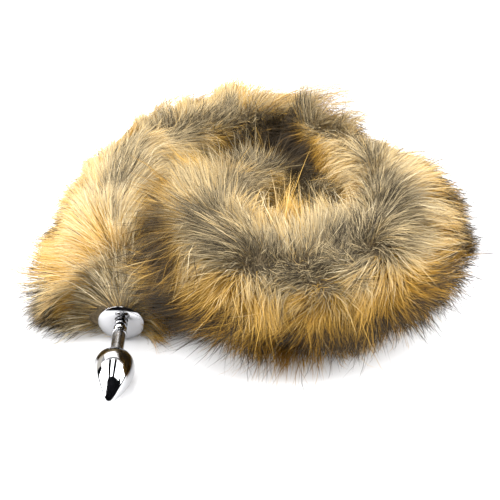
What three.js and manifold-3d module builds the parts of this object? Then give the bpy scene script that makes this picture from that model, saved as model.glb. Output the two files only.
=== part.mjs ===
// A long costume tail of deep imitation fur on a polished metal plug, lying coiled on a flat surface.
// Millimetres, +Z up. The surface is Z = 0 and the origin is under the middle of the part's box.
// +Y points away from the plug's tip, and the coil turns clockwise seen from above.
import * as THREE from "three";
import { mergeVertices } from "three/addons/utils/BufferGeometryUtils.js";
import Module from "manifold-3d";

// Driving dimensions of the tail
const TAIL_LENGTH = 770; // along the spine, from the flange to the end of the backing
const FUR_RADIUS = 60; // the pile's reach from the spine, which the table below gives shares of
const LOCK_LENGTH = 30; // of a lock's free end
const LOCK_WIDTH = 21; // of a lock's root
const LOCK_PITCH = 19; // from one ring of locks to the next
const FLOOR_PRESS = 9; // how far the pile is pressed flat underneath

// Driving dimensions of the metal plug
const BULB_DIAMETER = 28;
const BULB_LENGTH = 43;
const STEM_DIAMETER = 9;
const STEM_LENGTH = 18; // from the collar to the bulb's shoulder
const COLLAR_DIAMETER = 11;
const COLLAR_LENGTH = 6;
const WAIST_DIAMETER = 7.5; // between the collar and the disc
const WAIST_LENGTH = 2.3;
const FLANGE_DIAMETER = 32;
const FLANGE_RIM = 1.6; // thickness at the rim
const RIM_BEVEL = 0.5;
const FLANGE_DOME = 1.8; // how much higher the middle stands
const SPIGOT_DIAMETER = 4.5; // of the stem's end inside the collar
const SPIGOT_LENGTH = 7;
const POST_DIAMETER = 10;
const POST_LENGTH = 20;
const CLEARANCE = 0.3;
const PLUG_TURN = THREE.MathUtils.degToRad(2.4); // of the plug's axis from -Y, towards -X
const AROUND = 32; // facets round a turned piece
const CURVE_STEPS = 6; // of the flange's dome and of the collar's bead
const COLLAR_ARC = { from: 0.2, to: 0.75 }; // the bead's stretch of a half round
const COLLAR_END = 0.8; // the least radius that half round would have, as a share of the bead's

// The spine's route over the surface and the form of the pile on it, from the flange to the tail's end.
// right and back are shares of the tail's length; the rest are shares of the pile's reach: high is the
// spine's height, outer and inner the reach away from and towards the coil's middle, and over the reach
// upwards.
const ROUTE = [
  { right: -0.125, back: -0.031, high: 0.56, outer: 0.92, inner: 0.60, over: 0.62 },
  { right: -0.135, back: 0.000, high: 0.64, outer: 0.86, inner: 0.74, over: 0.66 },
  { right: -0.137, back: 0.036, high: 0.66, outer: 0.76, inner: 0.78, over: 0.68 },
  { right: -0.127, back: 0.074, high: 0.68, outer: 0.72, inner: 0.80, over: 0.70 },
  { right: -0.105, back: 0.112, high: 0.70, outer: 0.74, inner: 0.78, over: 0.72 },
  { right: -0.073, back: 0.139, high: 0.72, outer: 0.76, inner: 0.76, over: 0.74 },
  { right: -0.038, back: 0.155, high: 0.74, outer: 0.78, inner: 0.76, over: 0.76 },
  { right: 0.001, back: 0.157, high: 0.74, outer: 0.78, inner: 0.76, over: 0.76 },
  { right: 0.038, back: 0.146, high: 0.74, outer: 0.76, inner: 0.74, over: 0.76 },
  { right: 0.069, back: 0.124, high: 0.74, outer: 0.76, inner: 0.70, over: 0.74 },
  { right: 0.098, back: 0.092, high: 0.74, outer: 0.76, inner: 0.62, over: 0.74 },
  { right: 0.120, back: 0.056, high: 0.76, outer: 0.82, inner: 0.60, over: 0.76 },
  { right: 0.131, back: 0.017, high: 0.78, outer: 0.90, inner: 0.60, over: 0.78 },
  { right: 0.130, back: -0.021, high: 0.80, outer: 0.96, inner: 0.58, over: 0.80 },
  { right: 0.111, back: -0.051, high: 0.82, outer: 1.00, inner: 0.70, over: 0.82 },
  { right: 0.078, back: -0.068, high: 0.83, outer: 1.04, inner: 0.90, over: 0.84 },
  { right: 0.042, back: -0.073, high: 0.83, outer: 1.06, inner: 0.94, over: 0.84 },
  { right: 0.005, back: -0.066, high: 0.82, outer: 1.02, inner: 0.66, over: 0.82 },
  { right: -0.020, back: -0.044, high: 0.80, outer: 0.94, inner: 0.42, over: 0.80 },
  { right: -0.029, back: -0.010, high: 0.76, outer: 0.84, inner: 0.44, over: 0.74 },
  { right: -0.026, back: 0.023, high: 0.72, outer: 0.74, inner: 0.50, over: 0.70 },
  { right: -0.012, back: 0.053, high: 0.68, outer: 0.68, inner: 0.48, over: 0.66 },
  { right: 0.018, back: 0.068, high: 0.62, outer: 0.62, inner: 0.44, over: 0.62 },
  { right: 0.047, back: 0.064, high: 0.58, outer: 0.56, inner: 0.40, over: 0.58 },
  { right: 0.062, back: 0.046, high: 0.56, outer: 0.52, inner: 0.36, over: 0.56 },
  { right: 0.062, back: 0.022, high: 0.54, outer: 0.50, inner: 0.32, over: 0.54 },
  { right: 0.046, back: 0.008, high: 0.52, outer: 0.48, inner: 0.30, over: 0.50 },
  { right: 0.026, back: 0.010, high: 0.50, outer: 0.44, inner: 0.30, over: 0.48 },
];
const MOUTH = { right: -0.115, back: -0.079 }; // where the flange holds the tail, in the same shares
// The pile's form at the mouth and at the tail's end, in shares of the pile's radius.
const MOUTH_FORM = { outer: 1.0, inner: 0.5, over: 0.6 };
const MOUTH_SHARE = 0.72; // of its full reach that the pile has at the flange
const SWELL = 16; // how soon past the flange the pile has its full reach
const END_TAPER = 38; // the length over which the tail's end closes
const STRETCHES = 6; // of the pile along the spine
const RINGS_EACH = 9; // of a stretch
const SIDES = 16; // of each ring
const BODY_SHARE = 0.84; // of the pile's reach that is dense, with the locks standing on it

// A lock's bend: how far its middle and its tip lie out from the pile, along the tail and down, and how
// wide it is there, in shares of its length and of its root's width.
const LOCK_MIDDLE = { out: 0.26, along: 0.16, down: 0, wide: 0.77 };
const LOCK_TIP = { out: 0.5, along: 0.6, down: 0.3 };
const LOCK_FLATNESS = 0.7; // its depth as a share of its width
const LOCK_VARIES = { from: 0.75, to: 1.25 }; // one lock's size as a share of the named one
const LOCK_SPREAD = 0.14; // how far down each side the locks go, in half turns past the level
const TURN_ROOM = 0.72; // share of the pile's reach that a lock keeps from another turn's spine
const OWN_STRETCH = 3; // how many reaches along the spine count as a lock's own turn
const SPINE_SAMPLES = 70; // places along the spine where that is measured

// The bulb's outline from its shoulder to its tip: shares of its length and of its radius.
const BULB_OUTLINE = [
  { along: 0.015, reach: 0.5 },
  { along: 0.06, reach: 0.7 },
  { along: 0.13, reach: 0.87 },
  { along: 0.22, reach: 0.97 },
  { along: 0.31, reach: 1.0 },
  { along: 0.42, reach: 0.975 },
  { along: 0.54, reach: 0.88 },
  { along: 0.66, reach: 0.73 },
  { along: 0.78, reach: 0.54 },
  { along: 0.88, reach: 0.37 },
  { along: 0.95, reach: 0.25 },
  { along: 0.985, reach: 0.15 },
];
const WIDEST = BULB_OUTLINE.find((row) => row.reach === 1).along;

const wasm = await Module();
wasm.setup();

// A closed geometry as a solid that can be joined and cut.
function solidOf(geometry) {
  const bare = new THREE.BufferGeometry();
  bare.setAttribute("position", geometry.getAttribute("position"));
  if (geometry.index) bare.setIndex(geometry.index);
  const merged = mergeVertices(bare, 1e-4);
  return new wasm.Manifold(
    new wasm.Mesh({
      numProp: 3,
      vertProperties: new Float32Array(merged.attributes.position.array),
      triVerts: new Uint32Array(merged.index.array),
    }),
  );
}

function geometryOf(solid) {
  const mesh = solid.getMesh();
  const geometry = new THREE.BufferGeometry();
  geometry.setAttribute("position", new THREE.BufferAttribute(new Float32Array(mesh.vertProperties), 3));
  geometry.setIndex(new THREE.BufferAttribute(new Uint32Array(mesh.triVerts), 1));
  return geometry;
}

// A solid turned about Y from rows of { radius, y } that start and end on the axis.
function turned(rows) {
  return new THREE.LatheGeometry(
    rows.map(({ radius, y }) => new THREE.Vector2(radius, y)),
    AROUND,
  );
}

// The plug's axis: y = 0 is the flange's back face, and +Y runs towards the bulb's tip.
const FLANGE_FACE = FLANGE_RIM + FLANGE_DOME;
const COLLAR_BASE = FLANGE_FACE + WAIST_LENGTH;
const COLLAR_TOP = COLLAR_BASE + COLLAR_LENGTH;
const STEM_BASE = COLLAR_TOP + CLEARANCE;
const SHOULDER = COLLAR_TOP + STEM_LENGTH;
const PLUG_END = SHOULDER + BULB_LENGTH;

function flangeGeometry() {
  const rim = FLANGE_DIAMETER / 2;
  const waist = WAIST_DIAMETER / 2;
  const collar = COLLAR_DIAMETER / 2;
  const bore = SPIGOT_DIAMETER / 2 + CLEARANCE;
  const boreEnd = COLLAR_TOP - SPIGOT_LENGTH - CLEARANCE;
  const rows = [
    { radius: 0, y: 0 },
    { radius: rim - RIM_BEVEL, y: 0 },
    { radius: rim, y: RIM_BEVEL },
    { radius: rim, y: FLANGE_RIM - RIM_BEVEL },
  ];
  for (let step = 0; step <= CURVE_STEPS; step += 1) {
    const share = step / CURVE_STEPS;
    const radius = THREE.MathUtils.lerp(rim - RIM_BEVEL, waist, share);
    rows.push({ radius, y: FLANGE_RIM + FLANGE_DOME * Math.sin((share * Math.PI) / 2) });
  }
  rows.push({ radius: waist, y: COLLAR_BASE });
  for (let step = 0; step <= CURVE_STEPS; step += 1) {
    const share = step / CURVE_STEPS;
    const bulge = Math.sin(THREE.MathUtils.lerp(COLLAR_ARC.from, COLLAR_ARC.to, share) * Math.PI);
    const radius = THREE.MathUtils.lerp(COLLAR_END, 1, bulge) * collar;
    rows.push({ radius, y: COLLAR_BASE + COLLAR_LENGTH * share });
  }
  rows.push({ radius: bore, y: COLLAR_TOP }, { radius: bore, y: boreEnd }, { radius: 0, y: boreEnd });
  return turned(rows);
}

function bulbGeometry() {
  const spigot = SPIGOT_DIAMETER / 2;
  const stem = STEM_DIAMETER / 2;
  const radius = BULB_DIAMETER / 2;
  const spigotEnd = COLLAR_TOP - SPIGOT_LENGTH;
  return turned([
    { radius: 0, y: spigotEnd },
    { radius: spigot, y: spigotEnd },
    { radius: spigot, y: STEM_BASE },
    { radius: stem - CLEARANCE, y: STEM_BASE },
    { radius: stem, y: STEM_BASE + CLEARANCE },
    { radius: stem, y: SHOULDER },
    ...BULB_OUTLINE.map(({ along, reach }) => ({
      radius: radius * reach,
      y: SHOULDER + BULB_LENGTH * along,
    })),
    { radius: 0, y: PLUG_END },
  ]);
}

function postGeometry() {
  const radius = POST_DIAMETER / 2;
  return turned([
    { radius: 0, y: -CLEARANCE - POST_LENGTH },
    { radius, y: -CLEARANCE - POST_LENGTH },
    { radius, y: -CLEARANCE },
    { radius: 0, y: -CLEARANCE },
  ]);
}

// The plug leans until both the flange's rim and the bulb touch the surface.
const rimAt = FLANGE_RIM / 2;
const widestAt = SHOULDER + BULB_LENGTH * WIDEST;
const LEAN = Math.atan((FLANGE_DIAMETER - BULB_DIAMETER) / 2 / (widestAt - rimAt));
const PLUG_AXIS = new THREE.Vector3(
  -Math.sin(PLUG_TURN) * Math.cos(LEAN),
  -Math.cos(PLUG_TURN) * Math.cos(LEAN),
  -Math.sin(LEAN),
);

// The spine as a curve of the tail's length, with the pile's form at any share of it.
function makeSpine() {
  const mouthHeight = rimAt * Math.sin(LEAN) + (FLANGE_DIAMETER / 2) * Math.cos(LEAN);
  const plan = [MOUTH, ...ROUTE].map(({ right, back }) => new THREE.Vector3(right, back, 0));
  const scale = TAIL_LENGTH / new THREE.CatmullRomCurve3(plan, false, "centripetal").getLength();
  const mouth = new THREE.Vector3(MOUTH.right * scale, MOUTH.back * scale, mouthHeight);
  const points = ROUTE.map(
    ({ right, back, high }) => new THREE.Vector3(right * scale, back * scale, high * FUR_RADIUS),
  );
  const leaving = mouth.clone().addScaledVector(PLUG_AXIS, -POST_LENGTH);
  const curve = new THREE.CatmullRomCurve3([mouth, leaving, ...points], false, "centripetal");
  const stations = [MOUTH_FORM, MOUTH_FORM, ...ROUTE];
  return { curve, mouth, stations };
}
const SPINE = makeSpine();

// The frame at a share of the spine: its place, its way along, its side away from the coil, and the
// pile's reach.
function frameAt(share) {
  const { curve, stations } = SPINE;
  const t = curve.getUtoTmapping(THREE.MathUtils.clamp(share, 0, 1));
  const at = curve.getPoint(t);
  const along = curve.getTangent(t);
  const side = new THREE.Vector3(-along.y, along.x, 0).normalize();
  const up = new THREE.Vector3(0, 0, 1);
  const place = t * (stations.length - 1);
  const before = Math.min(Math.floor(place), stations.length - 2);
  const blend = THREE.MathUtils.smoothstep(place - before, 0, 1);
  const mix = (name) => THREE.MathUtils.lerp(stations[before][name], stations[before + 1][name], blend);
  const fromMouth = share * TAIL_LENGTH;
  const fromEnd = (1 - share) * TAIL_LENGTH;
  const opened = Math.sin((Math.min(fromMouth / SWELL, 1) * Math.PI) / 2);
  const swell = THREE.MathUtils.lerp(MOUTH_SHARE, 1, opened);
  const close = Math.sqrt(1 - (1 - Math.min(fromEnd / END_TAPER, 1)) ** 2);
  const size = FUR_RADIUS * swell * close;
  const reach = { outer: mix("outer") * size, inner: mix("inner") * size, over: mix("over") * size };
  return { at, along, side, up, close, ...reach };
}

// A point of the pile's form: angle 0 is the coil's outside, a quarter turn is on top.
function pileOffset(frame, angle, share) {
  const across = Math.cos(angle) * (Math.cos(angle) > 0 ? frame.outer : frame.inner) * share;
  const under = (frame.at.z + FLOOR_PRESS) * frame.close;
  const rise = Math.sin(angle) * (Math.sin(angle) > 0 ? frame.over * share : under);
  return new THREE.Vector3().addScaledVector(frame.side, across).addScaledVector(frame.up, rise);
}

// One stretch of the dense pile between two of its rings, as a closed loft.
function stretchGeometry(firstRing, lastRing) {
  const places = [];
  const faces = [];
  const start = CLEARANCE / TAIL_LENGTH;
  const shareOf = (ring) => THREE.MathUtils.lerp(start, 1 - start, ring / (STRETCHES * RINGS_EACH));
  for (let ring = firstRing; ring <= lastRing; ring += 1) {
    const frame = frameAt(shareOf(ring));
    for (let side = 0; side < SIDES; side += 1) {
      const point = pileOffset(frame, ((side + 0.5) / SIDES) * Math.PI * 2, BODY_SHARE).add(frame.at);
      places.push(point.x, point.y, point.z);
    }
  }
  const middle = places.length / 3;
  [firstRing, lastRing].forEach((ring) => {
    const { at } = frameAt(shareOf(ring));
    places.push(at.x, at.y, at.z);
  });
  const rings = lastRing - firstRing;
  for (let side = 0; side < SIDES; side += 1) {
    const next = (side + 1) % SIDES;
    for (let ring = 0; ring < rings; ring += 1) {
      const low = ring * SIDES;
      const high = low + SIDES;
      faces.push(low + side, low + next, high + side, low + next, high + next, high + side);
    }
    faces.push(middle, next, side);
    faces.push(middle + 1, rings * SIDES + side, rings * SIDES + next);
  }
  const geometry = new THREE.BufferGeometry();
  geometry.setAttribute("position", new THREE.Float32BufferAttribute(places, 3));
  geometry.setIndex(faces);
  return geometry;
}

// The dense pile in stretches that share their end rings, because the coil's turns lie against each other.
function stretches() {
  return Array.from({ length: STRETCHES }, (_, index) =>
    stretchGeometry(index * RINGS_EACH, (index + 1) * RINGS_EACH),
  );
}

// A steady scatter from 0 to 1 for a pair of whole numbers.
function scatter(a, b) {
  const wave = Math.sin(a * 12.9898 + b * 78.233) * 43758.5453;
  return wave - Math.floor(wave);
}

// One lock: a bent three-sided spike whose root is sunk in the pile.
function lockGeometry(root, out, along, length, width) {
  const across = new THREE.Vector3().crossVectors(out, along).normalize();
  const bent = (form) => {
    const point = root.clone().addScaledVector(out, length * form.out);
    point.addScaledVector(along, length * form.along);
    return point.setZ(Math.max(point.z - length * form.down, CLEARANCE));
  };
  const sunk = root.clone().addScaledVector(out, -width / 2);
  const tip = bent(LOCK_TIP);
  const places = [];
  [
    { at: sunk, half: width / 2 },
    { at: bent(LOCK_MIDDLE), half: (width / 2) * LOCK_MIDDLE.wide },
  ].forEach(({ at, half }) => {
    for (let corner = 0; corner < 3; corner += 1) {
      const angle = (corner * 2 * Math.PI) / 3;
      const point = at
        .clone()
        .addScaledVector(across, half * Math.sin(angle))
        .addScaledVector(along, half * LOCK_FLATNESS * Math.cos(angle));
      places.push(point.x, point.y, point.z);
    }
  });
  places.push(tip.x, tip.y, tip.z);
  const faces = [0, 2, 1];
  for (let corner = 0; corner < 3; corner += 1) {
    const next = (corner + 1) % 3;
    faces.push(corner, next, corner + 3, next, next + 3, corner + 3);
    faces.push(corner + 3, next + 3, 6);
  }
  const geometry = new THREE.BufferGeometry();
  geometry.setAttribute("position", new THREE.Float32BufferAttribute(places, 3));
  geometry.setIndex(faces);
  return geometry;
}

// How near a point comes to a stretch of the spine other than its own.
function nearestOther(point, share) {
  let nearest = Infinity;
  for (let step = 0; step <= SPINE_SAMPLES; step += 1) {
    const other = step / SPINE_SAMPLES;
    if (Math.abs(other - share) * TAIL_LENGTH > OWN_STRETCH * FUR_RADIUS) {
      const { at } = frameAt(other);
      nearest = Math.min(nearest, Math.hypot(point.x - at.x, point.y - at.y));
    }
  }
  return nearest;
}

// The locks in staggered rings, all but those that would stand in another turn of the coil.
function locks() {
  const found = [];
  const rings = Math.floor((TAIL_LENGTH - LOCK_LENGTH) / LOCK_PITCH);
  for (let ring = 0; ring < rings; ring += 1) {
    const share = ((ring + 0.5) * LOCK_PITCH) / TAIL_LENGTH;
    const frame = frameAt(share);
    const girth = (Math.PI / 2) * (frame.outer + frame.inner);
    const count = Math.round(girth / LOCK_PITCH);
    for (let lock = 0; lock < count; lock += 1) {
      const spot = (lock + 0.5 + (ring % 2 ? 0.25 : -0.25)) / count;
      const angle = THREE.MathUtils.lerp(-LOCK_SPREAD, 1 + LOCK_SPREAD, spot) * Math.PI;
      const offset = pileOffset(frame, angle, BODY_SHARE);
      const out = offset.clone().normalize();
      const root = offset.add(frame.at);
      const varied = THREE.MathUtils.lerp(LOCK_VARIES.from, LOCK_VARIES.to, scatter(ring, lock));
      const length = LOCK_LENGTH * varied;
      const reach = root.clone().addScaledVector(out, length);
      if (nearestOther(reach, share) < FUR_RADIUS * TURN_ROOM) continue;
      const width = LOCK_WIDTH * THREE.MathUtils.lerp(LOCK_VARIES.from, 1, scatter(lock, ring));
      found.push(lockGeometry(root, out, frame.along, length, width));
    }
  }
  return found;
}

// Everything below the surface, which the pile is pressed flat on.
function belowSurface() {
  const wide = 2 * TAIL_LENGTH;
  return solidOf(new THREE.BoxGeometry(wide, wide, FUR_RADIUS).translate(0, 0, -FUR_RADIUS / 2));
}

function furGeometry() {
  let fur = wasm.Manifold.union([...stretches(), ...locks()].map(solidOf));
  fur = fur.subtract(belowSurface());
  // The room that the flange, the plug and the post take, with the clearance round them.
  const room = FLANGE_DIAMETER / 2 + CLEARANCE;
  const socket = POST_DIAMETER / 2 + CLEARANCE;
  const taken = turned([
    { radius: 0, y: -2 * CLEARANCE - POST_LENGTH },
    { radius: socket, y: -2 * CLEARANCE - POST_LENGTH },
    { radius: socket, y: -CLEARANCE },
    { radius: room, y: -CLEARANCE },
    { radius: room, y: PLUG_END },
    { radius: 0, y: PLUG_END },
  ]);
  taken.applyQuaternion(plugTurn()).translate(SPINE.mouth.x, SPINE.mouth.y, SPINE.mouth.z);
  // Small pockets closed in where locks meet are filled: only the outer skin is kept.
  const skins = fur.subtract(solidOf(taken)).decompose();
  return geometryOf(skins.reduce((largest, skin) => (skin.volume() > largest.volume() ? skin : largest)));
}

function plugTurn() {
  return new THREE.Quaternion().setFromUnitVectors(new THREE.Vector3(0, 1, 0), PLUG_AXIS);
}

const CHROME = new THREE.MeshStandardMaterial({ color: 0xd8dade, roughness: 0.06, metalness: 1 });
const STEEL = new THREE.MeshStandardMaterial({ color: 0xb8babd, roughness: 0.3, metalness: 1 });
const FUR = new THREE.MeshStandardMaterial({ color: 0xb59a62, roughness: 0.9, metalness: 0 });

function named(name, geometry, material) {
  const mesh = new THREE.Mesh(geometry, material);
  mesh.name = name;
  return mesh;
}

const plug = new THREE.Group();
plug.quaternion.copy(plugTurn());
plug.position.copy(SPINE.mouth);
plug.add(named("plug_bulb", bulbGeometry(), CHROME));
plug.add(named("flange", flangeGeometry(), CHROME));
plug.add(named("tail_post", postGeometry(), STEEL));

const tail = new THREE.Group();
tail.add(plug);
tail.add(named("tail_fur", furGeometry(), FUR));

// The origin goes under the middle of the whole part.
const box = new THREE.Box3().setFromObject(tail, true);
const middle = box.getCenter(new THREE.Vector3());
tail.position.set(-middle.x, -middle.y, -box.min.z);

const part = new THREE.Group();
part.add(tail);
export default part;
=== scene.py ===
import math

import bmesh
import bpy
import numpy as np
from mathutils import Matrix, Vector


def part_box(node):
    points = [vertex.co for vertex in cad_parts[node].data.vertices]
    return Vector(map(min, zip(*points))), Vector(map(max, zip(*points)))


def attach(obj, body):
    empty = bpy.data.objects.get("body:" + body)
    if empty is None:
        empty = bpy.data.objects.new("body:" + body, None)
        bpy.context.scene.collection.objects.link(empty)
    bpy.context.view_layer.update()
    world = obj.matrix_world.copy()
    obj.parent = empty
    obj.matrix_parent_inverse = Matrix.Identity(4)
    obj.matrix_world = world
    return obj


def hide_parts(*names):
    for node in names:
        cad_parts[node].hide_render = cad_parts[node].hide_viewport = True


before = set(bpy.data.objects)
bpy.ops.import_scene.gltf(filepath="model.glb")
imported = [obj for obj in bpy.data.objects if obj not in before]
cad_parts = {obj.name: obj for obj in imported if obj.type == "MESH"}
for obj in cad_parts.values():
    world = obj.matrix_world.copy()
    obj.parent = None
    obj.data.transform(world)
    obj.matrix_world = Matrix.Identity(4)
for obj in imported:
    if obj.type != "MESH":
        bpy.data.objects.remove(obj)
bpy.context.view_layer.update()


# The studio: a pale table that runs on past the picture, and soft lights overhead, at the sides and in front.
# Round it stand a dark wall and ceiling and a pale lit wall, which show in the polished metal alone.
FLOOR_SIDE = 8.0
FLOOR_CELLS = 8
FLOOR_DROP = 0.0004
FLOOR_COLOUR = (0.80, 0.80, 0.81, 1)
FLOOR_CLOUD = (0.77, 0.77, 0.78, 1)
CLOUD_SCALE = 3.0
CLOUD_SHARE = 0.3
FLOOR_ROUGHNESS = 0.6
ROOM_COLOUR = (0.85, 0.85, 0.85, 1)
ROOM_STRENGTH = 0.90
SOFT_LIGHTS = (
    {"name": "over_middle", "at": (-0.09, 0.02, 1.30), "aim": (-0.09, 0.02, 0.0),
     "wide": 0.31, "tall": 0.90, "watts": 8.0},
    {"name": "over_left", "at": (-0.97, 0.00, 1.12), "aim": (-0.05, 0.0, 0.0),
     "wide": 0.98, "tall": 0.95, "watts": 23.5},
    {"name": "over_right", "at": (0.79, 0.00, 1.12), "aim": (-0.05, 0.0, 0.0),
     "wide": 0.98, "tall": 0.95, "watts": 18.5},
    {"name": "over_back", "at": (0.00, 1.08, 1.14), "aim": (0.0, 0.05, 0.05),
     "wide": 2.60, "tall": 0.84, "watts": 19.0},
    {"name": "left", "at": (-1.15, -0.15, 0.50), "aim": (0.0, 0.0, 0.04),
     "wide": 0.36, "tall": 0.60, "watts": 14.0},
    {"name": "right", "at": (1.15, -0.15, 0.50), "aim": (0.0, 0.0, 0.04),
     "wide": 0.36, "tall": 0.60, "watts": 11.0},
    {"name": "front", "at": (0.05, -1.35, 0.95), "aim": (0.0, -0.03, 0.03),
     "wide": 0.80, "tall": 0.30, "watts": 9.5},
)
# The front light is kept out of the metal, which would show it as a dot.
UNMIRRORED_LIGHT = "front"
WALL_RADIUS = 2.2
WALL_FOOT = 0.02
WALL_STEPS = 28
# Each wall runs from one angle in degrees to another, and up to a height.
DARK_WALL = (165.0, 375.0, 2.3)
PALE_WALL = (15.0, 165.0, 1.1)
CEILING_HIGH = 1.55
CEILING_HALF = 1.45
CEILING_BACK = 0.50
CARD_COLOUR = (0.01, 0.01, 0.012, 1)
PALE_CARD = (1.0, 0.95, 0.85, 1)
PALE_CARD_GLOW = 1.25
EYE = Vector((0.00089, -0.7500, 0.64065))
EYE_AIM = Vector((0.00089, -0.02228, 0.030))
LENS = 95.2
SENSOR = 36.0
CLIP_START = 0.05
CLIP_END = 20.0


class Value:
    """A socket's number, on which sums add Math nodes."""

    def __init__(self, finish, socket):
        self.finish = finish
        self.socket = socket

    def maths(self, operation, *terms):
        return self.finish.node("ShaderNodeMath", {"operation": operation}, dict(enumerate(terms)))

    def __add__(self, other):
        return self.maths("ADD", self, other)

    def __mul__(self, other):
        return self.maths("MULTIPLY", self, other)

    __radd__ = __add__
    __rmul__ = __mul__


class Finish:
    """A material and its nodes."""

    def __init__(self, name):
        self.material = bpy.data.materials.new(name)
        self.material.use_nodes = True
        self.tree = self.material.node_tree
        self.tree.nodes.clear()
        self.output = self.tree.nodes.new("ShaderNodeOutputMaterial")

    def node(self, kind, settings, inputs, output=0):
        made = self.tree.nodes.new(kind)
        for name, value in settings.items():
            if name == "stops":
                self.set_stops(made.color_ramp, value)
            else:
                setattr(made, name, value)
        for name, value in inputs.items():
            if isinstance(value, Value):
                self.tree.links.new(value.socket, made.inputs[name])
            else:
                made.inputs[name].default_value = value
        return Value(self, made.outputs[output])

    def set_stops(self, ramp, stops):
        while len(ramp.elements) < len(stops):
            ramp.elements.new(1.0)
        for element, (place, colour) in zip(ramp.elements, stops):
            element.position = place
            element.color = (*colour, 1)

    def blend(self, share, first, second):
        """A mix of two colours. The Mix node's colour sockets are inputs 6 and 7 and output 2."""
        return self.node("ShaderNodeMix", {"data_type": "RGBA"}, {0: share, 6: first, 7: second}, 2)

    def spread(self, value, low, high, start, end):
        """The value's place between low and high, taken smoothly to one between start and end."""
        settings = {"clamp": True, "interpolation_type": "SMOOTHSTEP"}
        return self.node(
            "ShaderNodeMapRange", settings, {0: value, 1: low, 2: high, 3: start, 4: end}
        )

    def surface(self, shader):
        self.tree.links.new(shader.socket, self.output.inputs["Surface"])
        return self.material


def place_mesh(bm, name, material, smooth=True):
    """The bmesh as an object at the origin, with one material."""
    mesh = bpy.data.meshes.new(name)
    bm.to_mesh(mesh)
    bm.free()
    mesh.materials.append(material)
    mesh.shade_smooth() if smooth else mesh.shade_flat()
    made = bpy.data.objects.new(name, mesh)
    bpy.context.scene.collection.objects.link(made)
    return made


def floor_finish():
    finish = Finish("pale table")
    where = finish.node("ShaderNodeTexCoord", {}, {}, "Object")
    cloud = finish.node("ShaderNodeTexNoise", {}, {"Vector": where, "Scale": CLOUD_SCALE, "Detail": 2.0})
    shade = finish.blend(cloud * CLOUD_SHARE, FLOOR_COLOUR, FLOOR_CLOUD)
    return finish.surface(finish.node("ShaderNodeBsdfPrincipled", {}, {
        "Base Color": shade, "Roughness": FLOOR_ROUGHNESS,
    }))


def facing(at, aim):
    """The place of a light or camera that looks from one point at another."""
    turn = (Vector(aim) - Vector(at)).to_track_quat("-Z", "Y")
    return Matrix.Translation(at) @ turn.to_matrix().to_4x4()


def soft_light(name, at, aim, wide, tall, watts):
    lamp = bpy.data.lights.new(name, "AREA")
    lamp.shape = "RECTANGLE"
    lamp.size = wide
    lamp.size_y = tall
    lamp.energy = watts
    made = bpy.data.objects.new(name, lamp)
    made.matrix_world = facing(at, aim)
    made.visible_glossy = name != UNMIRRORED_LIGHT
    bpy.context.scene.collection.objects.link(made)


def black_card_finish():
    finish = Finish("black card")
    return finish.surface(
        finish.node("ShaderNodeBsdfDiffuse", {}, {"Color": CARD_COLOUR, "Roughness": 1.0})
    )


def pale_card_finish():
    finish = Finish("lit pale card")
    return finish.surface(
        finish.node("ShaderNodeEmission", {}, {"Color": PALE_CARD, "Strength": PALE_CARD_GLOW})
    )


def only_mirrored(card):
    """A card that shows in polished metal alone."""
    card.visible_camera = False
    card.visible_diffuse = False
    card.visible_transmission = False
    card.visible_shadow = False


def round_wall(name, start, end, tall, material):
    """An upright wall round the table, from one angle in degrees to another."""
    bm = bmesh.new()
    turn = math.radians(start)
    foot = (math.cos(turn) * WALL_RADIUS, math.sin(turn) * WALL_RADIUS)
    edge = [bm.verts.new((*foot, high)) for high in (WALL_FOOT, tall)]
    bmesh.ops.spin(
        bm, geom=edge + [bm.edges.new(edge)], axis=(0, 0, 1), cent=(0, 0, 0), steps=WALL_STEPS,
        angle=math.radians(end - start), use_duplicate=False,
    )
    only_mirrored(place_mesh(bm, name, material, smooth=False))


def dark_ceiling(material):
    bm = bmesh.new()
    half = CEILING_HALF
    shape = Matrix.Translation((0, CEILING_BACK - half, CEILING_HIGH))
    bmesh.ops.create_grid(bm, x_segments=1, y_segments=1, size=half, matrix=shape)
    only_mirrored(place_mesh(bm, "dark_ceiling", material, smooth=False))


bm = bmesh.new()
bmesh.ops.create_grid(
    bm, x_segments=FLOOR_CELLS, y_segments=FLOOR_CELLS, size=FLOOR_SIDE / 2,
    matrix=Matrix.Translation((0, 0, -FLOOR_DROP)),
)
table = place_mesh(bm, "table", floor_finish(), smooth=False)
for light in SOFT_LIGHTS:
    soft_light(**light)
black_card = black_card_finish()
round_wall("dark_wall", *DARK_WALL, black_card)
round_wall("pale_wall", *PALE_WALL, pale_card_finish())
dark_ceiling(black_card)

room = bpy.data.worlds.new("room")
room.use_nodes = True
background = room.node_tree.nodes["Background"]
background.inputs["Color"].default_value = ROOM_COLOUR
background.inputs["Strength"].default_value = ROOM_STRENGTH
bpy.context.scene.world = room
bpy.context.scene.view_settings.view_transform = "Standard"

camera_data = bpy.data.cameras.new("camera")
camera_data.lens = LENS
camera_data.sensor_width = SENSOR
camera_data.clip_start = CLIP_START
camera_data.clip_end = CLIP_END
camera = bpy.data.objects.new("camera", camera_data)
camera.matrix_world = facing(EYE, EYE_AIM)
bpy.context.scene.collection.objects.link(camera)
bpy.context.scene.camera = camera


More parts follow.
